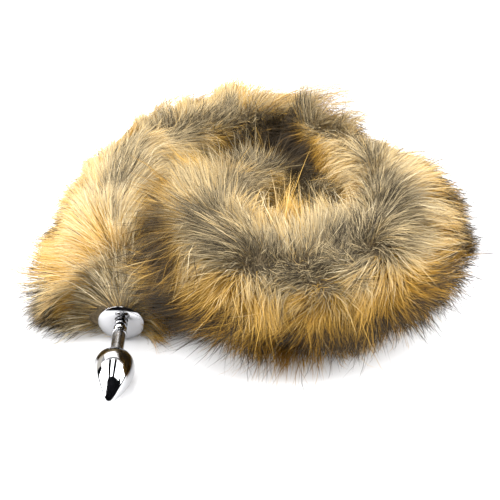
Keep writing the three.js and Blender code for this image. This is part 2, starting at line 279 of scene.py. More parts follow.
# The metal end fitting: an alloy disc with a crowned face, a ball, a thin ring and a collar, and a stem with
# a teardrop bulb whose spigot sits in the collar. Both are turned, polished and plated, the stem to a satin.
FLANGE_RADIUS = 0.016
FLANGE_RIM = 0.0016
FLANGE_DOME = 0.0018
WAIST_LENGTH = 0.0023
COLLAR_RADIUS = 0.0055
COLLAR_LENGTH = 0.006
STEM_RADIUS = 0.0045
STEM_LENGTH = 0.018
SPIGOT_RADIUS = 0.00225
SPIGOT_LENGTH = 0.007
BULB_RADIUS = 0.014
BULB_LENGTH = 0.043
POST_LENGTH = 0.020
CLEARANCE = 0.0003
PLUG_TURN = math.radians(2.4)
TURNED_STEPS = 96
SHARP_FROM = math.radians(38)
DISC_EDGE = 0.0004
RIM_LIFT = 0.0001
RIM_ARC = 56
CROWN_STEPS = 16
CROWN_CURVE = 3.4
CROWN_INNER = 0.0031
BALL_PAST_FACE = 0.0022
BALL_RADIUS = 0.0047
BALL_ARC = (-38, 48)
# The groove and the thin ring, as radius and distance past the ball's middle.
RING_OUTLINE = (
    (0.0030, 0.0034), (0.0030, 0.0037), (0.0037, 0.0038),
    (0.0038, 0.0042), (0.0034, 0.0044), (0.0040, 0.0046),
)
COLLAR_FOOT_INSET = 0.0009
COLLAR_FOOT_PAST_BALL = 0.0054
COLLAR_FOOT_ROUND = 0.0007
COLLAR_LIP_INSET = 0.0014
COLLAR_LIP_ROUND = 0.0012
SHOULDER_FILLET = 0.0006
BULB_TIP_RADIUS = 0.0009
BULB_TIP_SHARE = 0.997
# Shares of the bulb's length from its shoulder, and of its radius.
BULB_OUTLINE = (
    (0.0, 0.33), (0.006, 0.43), (0.02, 0.53), (0.06, 0.70), (0.13, 0.87), (0.22, 0.97), (0.31, 1.0),
    (0.42, 0.975), (0.54, 0.88), (0.66, 0.73), (0.78, 0.54), (0.88, 0.37), (0.95, 0.235), (0.985, 0.13),
)
BULB_WIDEST = 0.31
CHROME = (0.42, 0.42, 0.43, 1)
CHROME_ROUGHNESS = (0.025, 0.075)
SATIN_ROUGHNESS = 0.22
SATIN_EDGE = 0.001
HAZE_SCALE = 90.0
FINE_SCALE = 900.0

face = FLANGE_RIM + FLANGE_DOME
collar_base = face + WAIST_LENGTH
collar_top = collar_base + COLLAR_LENGTH
shoulder = collar_top + STEM_LENGTH
lean = math.atan((FLANGE_RADIUS - BULB_RADIUS) / (shoulder + BULB_LENGTH * BULB_WIDEST - FLANGE_RIM / 2))
plug_axis = Vector((
    -math.sin(PLUG_TURN) * math.cos(lean),
    -math.cos(PLUG_TURN) * math.cos(lean),
    -math.sin(lean),
))
post_low, post_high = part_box("tail_post")
mouth = (post_low + post_high) / 2 + plug_axis * (CLEARANCE + POST_LENGTH / 2)
upright = Vector((0, 0, 1))
plug_place = Matrix.Translation(mouth) @ upright.rotation_difference(plug_axis).to_matrix().to_4x4()


def chrome_finish():
    """Mirror-bright plating with faint polishing haze, and a satin stem between collar and bulb."""
    finish = Finish("polished chrome")
    where = finish.node("ShaderNodeTexCoord", {}, {}, "Object")
    haze = finish.node("ShaderNodeTexNoise", {}, {"Vector": where, "Scale": HAZE_SCALE, "Detail": 3.0})
    fine = finish.node("ShaderNodeTexNoise", {}, {"Vector": where, "Scale": FINE_SCALE, "Detail": 2.0})
    dot = {"operation": "DOT_PRODUCT"}
    along = finish.node("ShaderNodeVectorMath", dot, {0: where, 1: plug_axis}, "Value")
    start = mouth.dot(plug_axis)
    stem_end = start + shoulder
    satin = finish.spread(along, start + collar_top, start + collar_top + SATIN_EDGE, 0.0, 1.0)
    satin = satin * finish.spread(along, stem_end - 2 * SATIN_EDGE, stem_end + SATIN_EDGE, 1.0, 0.0)
    rough = finish.spread(haze, 0.35, 0.75, *CHROME_ROUGHNESS) + satin * SATIN_ROUGHNESS
    bump = finish.node("ShaderNodeBump", {}, {"Strength": 0.02, "Distance": 0.0001, "Height": fine})
    return finish.surface(finish.node("ShaderNodeBsdfPrincipled", {}, {
        "Base Color": CHROME, "Metallic": 1.0, "Roughness": rough, "Normal": bump,
    }))


def turned_piece(name, outline, material):
    """A closed piece turned about the fitting's axis from (radius, distance from the disc's back) pairs."""
    bm = bmesh.new()
    line = [bm.verts.new((radius, 0, along)) for radius, along in outline]
    edges = [bm.edges.new(pair) for pair in zip(line, line[1:])]
    bmesh.ops.spin(
        bm, geom=line + edges, axis=(0, 0, 1), cent=(0, 0, 0), steps=TURNED_STEPS,
        angle=math.tau, use_merge=True, use_duplicate=False,
    )
    bmesh.ops.remove_doubles(bm, verts=bm.verts, dist=1e-6)
    bmesh.ops.recalc_face_normals(bm, faces=bm.faces)
    bmesh.ops.transform(bm, matrix=plug_place, verts=bm.verts)
    made = place_mesh(bm, name, material)
    made.data.set_sharp_from_angle(angle=SHARP_FROM)
    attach(made, "root")
    return made


def rounded(centre, radius, start, end, steps):
    """Points on an arc in (radius, along) space, from one angle in degrees to another."""
    turns = [math.radians(start + (end - start) * step / steps) for step in range(steps + 1)]
    return [(centre[0] + radius * math.cos(turn), centre[1] + radius * math.sin(turn)) for turn in turns]


def disc_outline():
    """The disc with its crowned face, then a ball, a groove, a thin ring and the collar with its bore."""
    edge = DISC_EDGE
    rows = [(0, 0)]
    rows += rounded((FLANGE_RADIUS - edge, edge), edge, -90, 0, 5)
    rows += rounded((FLANGE_RADIUS - edge, edge + RIM_LIFT), edge, 0, RIM_ARC, 6)
    crown = np.linspace(0, 1, CROWN_STEPS + 1)[1:]
    start_radius, start_height = rows[-1]
    radius = start_radius + (CROWN_INNER - start_radius) * crown
    height = start_height + (face - start_height) * (1 - (1 - crown) ** CROWN_CURVE)
    rows += list(zip(radius, height))
    ball = face + BALL_PAST_FACE
    rows += rounded((0, ball), BALL_RADIUS, *BALL_ARC, 14)
    rows += [(ring, ball + past) for ring, past in RING_OUTLINE]
    foot = (COLLAR_RADIUS - COLLAR_FOOT_INSET, ball + COLLAR_FOOT_PAST_BALL)
    rows += rounded(foot, COLLAR_FOOT_ROUND, -80, 0, 5)
    lip = (COLLAR_RADIUS - COLLAR_LIP_INSET, collar_top - COLLAR_LIP_ROUND)
    rows += rounded(lip, COLLAR_LIP_ROUND, 0, 90, 6)
    bore = SPIGOT_RADIUS + CLEARANCE
    bore_end = collar_top - SPIGOT_LENGTH - CLEARANCE
    return rows + [(bore, collar_top), (bore, bore_end), (0, bore_end)]


def smooth_line(points, per_span):
    """Places along a centripetal curve through the points, which may have any number of coordinates."""
    points = np.asarray(points, float)
    ends = np.vstack([2 * points[0] - points[1], points, 2 * points[-1] - points[-2]])
    found = []
    for before, start, end, after in zip(ends, ends[1:], ends[2:], ends[3:]):
        spans = ((before, start), (start, end), (end, after))
        first, middle, last = (np.linalg.norm(far - near) ** 0.5 for near, far in spans)
        leave = (start - before) / first - (end - before) / (first + middle) + (end - start) / middle
        arrive = (end - start) / middle - (after - start) / (middle + last) + (after - end) / last
        leave, arrive = leave * middle, arrive * middle
        t = np.linspace(0, 1, per_span, endpoint=False)[:, None]
        bend = (2 * start - 2 * end + leave + arrive) * t**3
        sway = (3 * end - 3 * start - 2 * leave - arrive) * t**2
        found.append(bend + sway + leave * t + start)
    return np.vstack([*found, points[-1:]])


def bulb_outline():
    """The spigot, the stem and the teardrop bulb."""
    stem_base = collar_top + CLEARANCE
    rows = [(0, collar_top - SPIGOT_LENGTH), (SPIGOT_RADIUS, collar_top - SPIGOT_LENGTH)]
    rows += [(SPIGOT_RADIUS, stem_base), (STEM_RADIUS - CLEARANCE, stem_base)]
    rows += [(STEM_RADIUS, stem_base + CLEARANCE), (STEM_RADIUS, shoulder - SHOULDER_FILLET)]
    along = np.array([row[0] for row in BULB_OUTLINE])
    reach = np.array([row[1] for row in BULB_OUTLINE])
    places = smooth_line(np.c_[reach * BULB_RADIUS, shoulder + along * BULB_LENGTH], 5)
    rows += [tuple(place) for place in places]
    tip = (BULB_TIP_RADIUS, shoulder + BULB_LENGTH * BULB_TIP_SHARE)
    return rows + [tip, (0, shoulder + BULB_LENGTH)]


chrome = chrome_finish()
flange = turned_piece("polished_flange", disc_outline(), chrome)
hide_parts("flange")
bulb = turned_piece("polished_bulb", bulb_outline(), chrome)
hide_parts("plug_bulb")


# The hidden post: a plain turned steel pin that holds the disc to the tail's core. It stays as it is and
# gets a fine lathe grain.
STEEL = (0.60, 0.60, 0.61, 1)
STEEL_ROUGHNESS = (0.26, 0.42)
LATHE_SCALE = 1500.0


def steel_finish():
    finish = Finish("turned steel")
    where = finish.node("ShaderNodeTexCoord", {}, {}, "Object")
    grain = finish.node("ShaderNodeTexNoise", {}, {"Vector": where, "Scale": LATHE_SCALE, "Detail": 2.0})
    rough = finish.spread(grain, 0.3, 0.7, *STEEL_ROUGHNESS)
    return finish.surface(finish.node("ShaderNodeBsdfPrincipled", {}, {
        "Base Color": STEEL, "Metallic": 1.0, "Roughness": rough,
    }))


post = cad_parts["tail_post"]
post.data.materials.clear()
post.data.materials.append(steel_finish())


# The tail's backing: a long tube of knitted fabric with its dense underfur, lying in the coil and pressed
# flat where it rests. Its form follows the same route as the solid, and the long pile hides nearly all of it.
TAIL_LENGTH = 0.770
FUR_RADIUS = 0.060
FLOOR_PRESS = 0.009
SWELL = 0.016
END_TAPER = 0.038
MOUTH_SHARE = 0.72
MOUTH = (-0.115, -0.079)
# right and back are the spine's plan in metres, before it is scaled to the tail's length. Then high, outer,
# inner and over are shares of FUR_RADIUS, and parting is the angle in degrees, from the coil's outside over
# the top, where the pile divides.
ROUTE = np.array((
    (-0.125, -0.031, 0.56, 0.92, 0.60, 0.62, 108),
    (-0.135, 0.000, 0.64, 0.86, 0.74, 0.66, 112),
    (-0.137, 0.036, 0.66, 0.76, 0.78, 0.68, 105),
    (-0.127, 0.074, 0.68, 0.72, 0.80, 0.70, 108),
    (-0.105, 0.112, 0.70, 0.74, 0.78, 0.72, 108),
    (-0.073, 0.139, 0.72, 0.76, 0.76, 0.74, 114),
    (-0.038, 0.155, 0.74, 0.78, 0.76, 0.76, 122),
    (0.001, 0.157, 0.74, 0.78, 0.76, 0.76, 116),
    (0.038, 0.146, 0.74, 0.76, 0.74, 0.76, 108),
    (0.069, 0.124, 0.74, 0.76, 0.70, 0.74, 102),
    (0.098, 0.092, 0.74, 0.76, 0.62, 0.74, 102),
    (0.120, 0.056, 0.76, 0.82, 0.60, 0.76, 98),
    (0.131, 0.017, 0.78, 0.90, 0.60, 0.78, 91),
    (0.130, -0.021, 0.80, 0.96, 0.58, 0.80, 90),
    (0.111, -0.051, 0.82, 1.00, 0.70, 0.82, 96),
    (0.078, -0.068, 0.83, 1.04, 0.90, 0.84, 85),
    (0.042, -0.073, 0.83, 1.06, 0.94, 0.84, 70),
    (0.005, -0.066, 0.82, 1.02, 0.66, 0.82, 71),
    (-0.020, -0.044, 0.80, 0.94, 0.42, 0.80, 66),
    (-0.029, -0.010, 0.76, 0.84, 0.44, 0.74, 88),
    (-0.026, 0.023, 0.72, 0.74, 0.50, 0.70, 120),
    (-0.012, 0.053, 0.68, 0.68, 0.48, 0.66, 122),
    (0.018, 0.068, 0.62, 0.62, 0.44, 0.62, 105),
    (0.047, 0.064, 0.58, 0.56, 0.40, 0.58, 92),
    (0.062, 0.046, 0.56, 0.52, 0.36, 0.56, 90),
    (0.062, 0.022, 0.54, 0.50, 0.32, 0.54, 90),
    (0.046, 0.008, 0.52, 0.48, 0.30, 0.50, 90),
    (0.026, 0.010, 0.50, 0.44, 0.30, 0.48, 90),
))
HIGH, OUTER, INNER, OVER, PARTING = range(2, 7)
MOUTH_FORM = {OUTER: 1.0, INNER: 0.5, OVER: 0.6, PARTING: 100.0}
SPINE_STEPS = 1600
PLAN_STEPS = 200
SPAN_STEPS = 60
BACKING_SHARE = 0.52
BACKING_RINGS = 170
BACKING_SIDES = 28
BACKING_INSET = 0.001
BACKING_LOWEST = 0.0008
FIRST_RING_SHARE = 0.3
UNDERFUR_BROWN = (0.10, 0.075, 0.045, 1)
UNDERFUR_PALE = (0.25, 0.19, 0.11, 1)
UNDERFUR_DARK = (0.05, 0.04, 0.03, 1)


def make_spine():
    """Even steps along the spine: where it is, its way along, its outward side and the pile's form there."""
    plan = np.vstack([MOUTH, ROUTE[:, :2]])
    dense_plan = smooth_line(plan, PLAN_STEPS)
    scale = TAIL_LENGTH / np.linalg.norm(np.diff(dense_plan, axis=0), axis=1).sum()
    start = np.array(mouth)
    shift = start[:2] - np.array(MOUTH) * scale
    points = np.c_[ROUTE[:, :2] * scale + shift, ROUTE[:, HIGH] * FUR_RADIUS]
    leaving = start - np.array(plug_axis) * POST_LENGTH
    dense = smooth_line(np.vstack([start, leaving, points]), SPAN_STEPS)
    dense_place = np.arange(len(dense)) / SPAN_STEPS
    travelled = np.r_[0, np.linalg.norm(np.diff(dense, axis=0), axis=1).cumsum()]
    share = np.linspace(0, 1, SPINE_STEPS)
    place = np.interp(share * travelled[-1], travelled, dense_place)
    at = np.stack([np.interp(place, dense_place, dense[:, axis]) for axis in range(3)], 1)
    along = np.gradient(at, axis=0)
    along /= np.linalg.norm(along, axis=1)[:, None]
    side = np.c_[-along[:, 1], along[:, 0], np.zeros(SPINE_STEPS)]
    side /= np.linalg.norm(side, axis=1)[:, None]
    before = np.minimum(place.astype(int), len(ROUTE))
    part = place - before
    part = part * part * (3 - 2 * part)
    from_mouth = np.minimum(share * TAIL_LENGTH / SWELL, 1)
    from_end = np.minimum((1 - share) * TAIL_LENGTH / END_TAPER, 1)
    swell = MOUTH_SHARE + (1 - MOUTH_SHARE) * np.sin(from_mouth * math.pi / 2)
    close = np.sqrt(1 - (1 - from_end) ** 2)
    form = {}
    for column in (OUTER, INNER, OVER, PARTING):
        rows = np.r_[MOUTH_FORM[column], MOUTH_FORM[column], ROUTE[:, column]]
        mixed = rows[before] * (1 - part) + rows[np.minimum(before + 1, len(rows) - 1)] * part
        form[column] = mixed if column == PARTING else mixed * FUR_RADIUS * swell * close
    return {"share": share, "at": at, "along": along, "side": side, "close": close, **form}


spine = make_spine()


def spine_value(name, share):
    """The spine's value of that name at each share of its length."""
    values = spine[name]
    if values.ndim == 1:
        return np.interp(share, spine["share"], values)
    return np.stack([np.interp(share, spine["share"], values[:, axis]) for axis in range(3)], -1)


def pile_point(share, angle, reach, lowest=0.0):
    """Points in the pile: angle 0 is the coil's outside and a quarter turn on top, reach 1 its surface."""
    at = spine_value("at", share)
    side = spine_value("side", share)
    outer = spine_value(OUTER, share)
    inner = spine_value(INNER, share)
    over = spine_value(OVER, share)
    under = (at[..., 2] + FLOOR_PRESS) * spine_value("close", share)
    across = np.cos(angle) * np.where(np.cos(angle) > 0, outer, inner) * reach
    rise = np.sin(angle) * np.where(np.sin(angle) > 0, over, under) * reach
    points = at + side * across[..., None]
    points[..., 2] = np.maximum(points[..., 2] + rise, lowest)
    return points


def underfur_finish():
    """Short grey-brown underfur, streaked along the tail."""
    finish = Finish("underfur")
    where = finish.node("ShaderNodeTexCoord", {}, {}, "Object")
    coarse = finish.node("ShaderNodeTexNoise", {}, {"Vector": where, "Scale": 60.0, "Detail": 4.0})
    fine = finish.node("ShaderNodeTexNoise", {}, {"Vector": where, "Scale": 700.0, "Detail": 3.0})
    shade = finish.blend(finish.spread(coarse, 0.3, 0.7, 0.0, 1.0), UNDERFUR_BROWN, UNDERFUR_PALE)
    shade = finish.blend(finish.spread(fine, 0.4, 0.7, 0.0, 0.6), shade, UNDERFUR_DARK)
    bump = finish.node("ShaderNodeBump", {}, {"Strength": 0.8, "Distance": 0.002, "Height": fine})
    return finish.surface(finish.node("ShaderNodeBsdfPrincipled", {}, {
        "Base Color": shade, "Roughness": 0.95, "Normal": bump, "Specular IOR Level": 0.1,
    }))


def make_backing():
    """Rings along the spine, bridged into one tube and capped at both ends."""
    bm = bmesh.new()
    start = BACKING_INSET / TAIL_LENGTH
    angles = np.arange(BACKING_SIDES) * math.tau / BACKING_SIDES
    rings = []
    for index in range(BACKING_RINGS + 1):
        share = start + (1 - 2 * start) * index / BACKING_RINGS
        capped = index in (0, BACKING_RINGS)
        ring = bmesh.ops.create_circle(bm, cap_ends=capped, segments=BACKING_SIDES, radius=1.0)["verts"]
        reach = BACKING_SHARE if index else FIRST_RING_SHARE
        places = pile_point(np.full(BACKING_SIDES, share), angles, reach, BACKING_LOWEST)
        for vert, place in zip(ring, places):
            vert.co = place
        corners = set(ring)
        edges = {edge for vert in ring for edge in vert.link_edges}
        rings.append([edge for edge in edges if set(edge.verts) <= corners])
    for first, second in zip(rings, rings[1:]):
        bmesh.ops.bridge_loops(bm, edges=first + second)
    bmesh.ops.recalc_face_normals(bm, faces=bm.faces)
    made = place_mesh(bm, "fur_backing", underfur_finish())
    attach(made, "root")
    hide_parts("tail_fur")


make_backing()


# The long pile: straight imitation hairs, brushed away from a parting along the tail's top. Each is grey or
# ochre at its root, then cream and golden, often with a black tip. They gather in clumps and locks.
# Shade in the creases, the deep gaps, along the front and inside the far turn, and light near the table, are
# painted into the hairs' colour.
SEED = 11
PILE_PIECES = 5
STRANDS_EACH = 37600
CLUMPS = 30000
LOCKS = 1300
STRAND_STEPS = np.array([0.0, 0.36, 0.70, 1.0])
STRAND_WIDTH = 0.00030
WIDTH_ALONG = np.array([0.8, 1.0, 1.0, 0.0])
# This radius turns an angle round the tail into metres.
ARC_RADIUS = 0.045
LOWEST_ROOT = -42.0
HIGHEST_ROOT = 222.0
UNDERSIDE_SPAN = 96.0
UNDERSIDE_CLUMPS = 0.13
FIRST_SHARE = 0.004
LAST_SHARE = 0.995
ROOT_REACH = 0.50
TIP_REACH = 0.96
PARTING_WANDER = 16
LIE_OVER = 0.62
SWIRL = 0.32
COMB_SWIRL = 0.014
LOCK_SPREAD = 0.040
WISP_SHARE = 0.06
WISP_REACH = (0.05, 0.16)
GATHER = 0.24
CLUMP_SPREAD = 0.0023
LOOSEN = 0.38
STRAY_SHARE = 0.16
STRAY_SHARE_BY_DISC = 0.30
STRAY_LENGTH = (0.22, 0.17)
WANDER = 0.0017
STRAY_WANDER = 0.006
WAVE = 0.0008
LOWEST_HAIR = 0.0005
LOWEST_SPREAD = 0.004
SOFT_SIDE = 0.172
SOFT_BACK = 0.162
SOFT_CEILING = 0.103
SOFT_ROOM = 0.010
# Hairs curl forward beyond the first distance from the disc's middle, and stay behind the disc within the
# second from its axis. Each fades over the distance that follows it.
CURL_BEYOND = (0.0185, 0.004)
BEHIND_WITHIN = (0.027, 0.006)
BEHIND_BY = 0.0005
# How full the pile is on the coil's outside and on its inside, at shares of the tail's length.
FULLNESS = (
    (0.0, 1.34), (0.05, 1.06), (0.09, 0.80), (0.14, 0.67), (0.24, 0.68), (0.32, 0.75), (0.40, 0.70),
    (0.47, 0.77), (0.53, 1.06), (0.57, 1.02), (0.60, 0.91), (0.63, 0.86), (0.68, 0.80), (0.72, 1.16),
    (0.76, 1.45), (0.80, 1.34), (0.85, 1.05), (0.91, 1.20), (0.95, 1.40), (1.0, 1.5),
)
INNER_FULLNESS = (
    (0.0, 1.70), (0.05, 1.35), (0.10, 1.0), (0.66, 1.0), (0.70, 1.22), (0.74, 1.16), (0.79, 1.0), (1.0, 1.0),
)
# Tufts that stand out of the pile, as share, angle in degrees and extra reach.
TUFTS = (
    (0.33, 50, 0.60), (0.36, 60, 0.80), (0.385, 62, 0.85), (0.30, 62, 0.45), (0.39, 95, 0.60),
    (0.50, 15, 0.45), (0.18, 20, 0.50), (0.765, -8, 0.60), (0.47, 30, 0.35), (0.24, 40, 0.40),
    (0.42, 70, 0.45), (0.06, -10, 0.40),
)
TUFT_SIZE = 0.008
TUFT_CLUMPS = 0.4
# How far the hairs are combed along the tail, in metres, at shares of its length.
COMBED = (
    (0.0, 0.012), (0.38, 0.012), (0.47, 0.002), (0.62, -0.002), (0.70, 0.006), (0.78, 0.010), (1.0, 0.012),
)
# How dark and wide the pile opens along its parting, at shares of the tail's length.
OPENINGS = (
    (0.0, 0.9), (0.03, 0.5), (0.05, 0.15), (0.085, 0.25), (0.12, 0.9), (0.22, 0.95), (0.28, 1.15),
    (0.36, 1.15), (0.46, 0.9), (0.54, 1.3), (0.60, 1.4), (0.635, 1.40), (0.67, 1.30), (0.72, 1.0),
    (0.78, 0.4), (0.83, 0.4), (0.87, 0.8), (1.0, 0.8),
)
# How much lighter or darker the pile is, at shares of the tail's length.
LIGHTNESS = (
    (0.0, 0.0), (0.08, 0.05), (0.18, 0.02), (0.3, -0.08), (0.42, -0.04), (0.50, 0.04), (0.57, 0.02),
    (0.63, -0.06), (0.72, -0.08), (0.79, -0.20), (1.0, -0.17),
)
# How golden the pile is, how much painted shade it gets, and how much painted shade the far turn's inside
# gets, at shares of the tail's length.
GOLDEN_ALONG = ((0.05, 0.22), (0.2, 0.35), (0.3, 1.0))
SHADED_ALONG = ((0.0, 0.4), (0.10, 0.55), (0.2, 1.0))
FAR_TURN_SHADE = ((0.24, 0.0), (0.30, 1.0), (0.40, 1.0), (0.46, 0.0))
# The deep gaps in the coil, where the pile is a little shorter and shade is painted into its colour, as
# right, back and reach in metres.
SHADED_DEEP_GAPS = (
    (0.018, 0.054, 0.009), (0.018, 0.070, 0.009), (0.029, 0.042, 0.009), (0.030, 0.056, 0.010),
    (0.030, 0.068, 0.009), (0.036, 0.026, 0.008), (0.037, 0.037, 0.009), (0.038, 0.048, 0.009),
    (-0.062, -0.062, 0.011), (-0.060, -0.078, 0.011), (-0.059, -0.092, 0.010), (-0.066, -0.040, 0.009),
    (-0.070, -0.015, 0.007), (-0.058, -0.100, 0.010), (-0.056, -0.112, 0.009),
)
# What each thing adds to or takes from a hair's tone and lightness. Several of these are painted shade and
# painted light: the crease, gap, front and far-turn shade, and the light near the table.
TONE = {
    "plain": 0.44, "golden": 0.22, "opening": 0.20, "creases_and_gaps_shade": 0.34, "shaded": 0.22, "lock": 0.03, "far": 0.26,
}
LIGHT = {
    "plain": 0.52, "by_disc": 0.17, "opening": 0.21, "crease_press_and_shade": 0.26, "deep": 0.46, "shaded": 0.18,
    "lock": 0.03, "far": 0.20, "table": 0.34,
}
TABLE_LIGHT_HEIGHT = 0.045
PALE_ACROSS = 0.34
PALE_HAIRS = 0.12
BLACK = {"plain": 0.05, "low": 0.78, "opening": 0.12, "stray": 0.5}
# The hair chart: the colour at each tone, and what it fades to where a hair is darkest and lightest.
CHART_TONES = (
    (0.00, (0.030, 0.024, 0.015)),
    (0.14, (0.095, 0.074, 0.042)),
    (0.30, (0.260, 0.205, 0.118)),
    (0.44, (0.500, 0.388, 0.208)),
    (0.60, (0.555, 0.335, 0.074)),
    (0.76, (0.450, 0.240, 0.030)),
    (0.90, (0.250, 0.125, 0.013)),
    (1.00, (0.130, 0.060, 0.006)),
)
CHART_DARK = (0.024, 0.018, 0.011, 1)
CHART_PALE = (0.82, 0.70, 0.47, 1)
HAIR_ROUGHNESS = 0.55
HAIR_SPECULAR = 0.15
LIT_THROUGH = 0.22


draw = np.random.default_rng(SEED)


def from_table(table, share):
    return np.interp(share, *np.array(table).T)


def by_the_disc(x):
    """How close a place x metres along the tail is to the disc, from 0 to 1."""
    return np.clip(1.1 - x / 0.030, 0, 1)


def wavy(x, y, coarse, fine):
    """A smooth random field over the pile, about -1 to 1, with waves between two lengths in metres."""
    terms = 14
    total = np.zeros_like(x)
    for _ in range(terms):
        length = coarse * (fine / coarse) ** draw.random()
        turn = draw.random() * math.tau
        travel = x * math.cos(turn) + y * math.sin(turn)
        total += np.sin(travel * math.tau / length + draw.random() * math.tau)
    return total / math.sqrt(terms / 2) / 1.6


def crease(share, angle):
    """How far a place on the pile's surface lies in another turn of the coil, from 0 to 1."""
    surface = pile_point(share, angle, 1.0)
    deepest = np.zeros(len(share))
    for other in np.linspace(0.01, 0.97, 120):
        other_share = np.array([other])
        at = spine_value("at", other_share)[0]
        half = (spine_value(OUTER, other_share)[0] + spine_value(INNER, other_share)[0]) / 2
        away = np.linalg.norm((surface - at) / np.array([1, 1, 1.1]), axis=1) / half
        apart = np.abs(share - other) * TAIL_LENGTH > 0.16
        deepest = np.maximum(deepest, np.where(apart, np.clip((1.15 - away) / 0.4, 0, 1), 0))
    return deepest


def deep_place(points):
    """How far a place lies in one of the deep gaps that little light gets into, from 0 to 1; shade is painted
    there.
    """
    deepest = np.zeros(points.shape[:-1])
    for right, back, reach in SHADED_DEEP_GAPS:
        away = np.hypot(points[..., 0] - right, points[..., 1] - back) / reach
        deepest = np.maximum(deepest, np.clip(1.5 - away, 0, 1))
    return deepest


def groom():
    """The clumps' middle hairs: share, angle and reach at each step, and what their colour depends on."""
    share_weights = spine[OUTER] + spine[INNER] + 2 * spine[OVER]
    travelled = np.r_[0, np.cumsum(share_weights)[:-1]]
    share = np.interp(draw.random(CLUMPS), travelled / travelled[-1], spine["share"])
    share = np.clip(share, FIRST_SHARE, LAST_SHARE)
    angle = np.radians(LOWEST_ROOT + (HIGHEST_ROOT - LOWEST_ROOT) * draw.random(CLUMPS))
    under = draw.random(CLUMPS) < UNDERSIDE_CLUMPS
    below = math.radians(HIGHEST_ROOT) + draw.random(CLUMPS) * math.radians(UNDERSIDE_SPAN)
    angle = np.where(under, below, angle)
    parting = np.radians(spine_value(PARTING, share))
    x = share * TAIL_LENGTH
    y = angle * ARC_RADIUS
    parting = parting + np.radians(PARTING_WANDER) * wavy(x, y * 0, 0.20, 0.06)
    away = angle - parting
    # Hairs lie over more the further they grow from the parting, and stand out again low down.
    lie = np.sin(np.clip(away * 1.1, -math.pi / 2, math.pi / 2))
    low = np.clip((angle - math.radians(-5)) / math.radians(50), 0, 1)
    low *= np.clip((math.radians(190) - angle) / math.radians(50), 0, 1)
    swirl = wavy(x, y, 0.16, 0.04)
    swirl_2 = wavy(x, y, 0.12, 0.03)
    near_mouth = np.clip(x / 0.06, 0, 1)
    turn_by = LIE_OVER * lie * (0.35 + 0.65 * low) + SWIRL * swirl
    comb = from_table(COMBED, share) + COMB_SWIRL * swirl_2
    comb = comb * (0.25 + 0.75 * near_mouth)
    # Below and beside the disc a short mane is combed the other way, out of the tail's mouth.
    mane = np.clip(1.1 - x / 0.016, 0, 1) * np.clip(1.5 - 1.4 * np.sin(angle), 0, 1)
    comb = comb * (1 - mane) - (0.009 + 0.004 * swirl_2) * mane
    lift = 1 + 0.05 * wavy(x, y, 0.10, 0.03)
    # Locks: every clump's tip is drawn towards the middle of its lock.
    lock_share = np.interp(draw.random(LOCKS), travelled / travelled[-1], spine["share"])
    lock_angle = np.radians(LOWEST_ROOT + (HIGHEST_ROOT - LOWEST_ROOT) * draw.random(LOCKS))
    lock_x = lock_share * TAIL_LENGTH
    lock_y = lock_angle * ARC_RADIUS
    lock = np.empty(CLUMPS, int)
    batch = 1000
    for start in range(0, CLUMPS, batch):
        some = slice(start, start + batch)
        gap = (x[some, None] - lock_x) ** 2 + (y[some, None] - lock_y) ** 2
        lock[some] = gap.argmin(1)
    wisps = np.where(draw.random(LOCKS) < WISP_SHARE, draw.uniform(*WISP_REACH, LOCKS), 0.0)
    lock_reach = (draw.normal(0, LOCK_SPREAD, LOCKS) + wisps)[lock]
    lock_tone = draw.normal(0, 1, LOCKS)[lock]
    t = STRAND_STEPS
    gather = GATHER * t**1.5
    path_share = share[:, None] + (comb[:, None] * t**1.2) / TAIL_LENGTH
    path_share = path_share + (lock_share[lock] - share)[:, None] * gather
    path_angle = angle[:, None] + turn_by[:, None] * t**1.3
    path_angle = path_angle + (lock_angle[lock] - angle)[:, None] * gather
    full = from_table(FULLNESS, share)
    outside = np.clip((np.radians(112) - angle) / math.radians(40), 0, 1)
    full_inside = from_table(INNER_FULLNESS, share)
    inside = np.clip((angle - math.radians(95)) / math.radians(40), 0, 1)
    inside = inside * np.clip((math.radians(235) - angle) / math.radians(20), 0, 1)
    tip = TIP_REACH * (1 + (full - 1) * outside + (full_inside - 1) * inside) * lift
    chosen = draw.random(CLUMPS) < TUFT_CLUMPS
    for tuft_share, tuft_angle, extra in TUFTS:
        away_x = (x - tuft_share * TAIL_LENGTH) / TUFT_SIZE
        away_y = (y - math.radians(tuft_angle) * ARC_RADIUS) / TUFT_SIZE
        tip = tip + extra * np.exp(-(away_x**2 + away_y**2) / 2) * chosen
    tip = (tip + lock_reach + draw.normal(0, 0.025, CLUMPS))[:, None]
    path_reach = ROOT_REACH + (tip - ROOT_REACH) * t**0.85
    # In the crease between two turns the hairs are pressed down, and little light gets in, so shade is
    # painted into their colour there.
    crease_press_and_shade = crease(share, angle)
    path_reach = path_reach * (1 - 0.30 * crease_press_and_shade[:, None] * t)
    # In the deep gaps the hairs are a little shorter, and shade is painted into their colour there too.
    deep = deep_place(pile_point(share, angle, 0.85))
    path_reach = path_reach * (1 - 0.14 * deep[:, None] * t)
    return {
        "share": path_share, "angle": path_angle, "reach": path_reach, "x": x, "parting": parting,
        "crease_press_and_shade": crease_press_and_shade, "deep": deep, "lock_tone": lock_tone, "patch": wavy(x, y, 0.09, 0.025),
    }


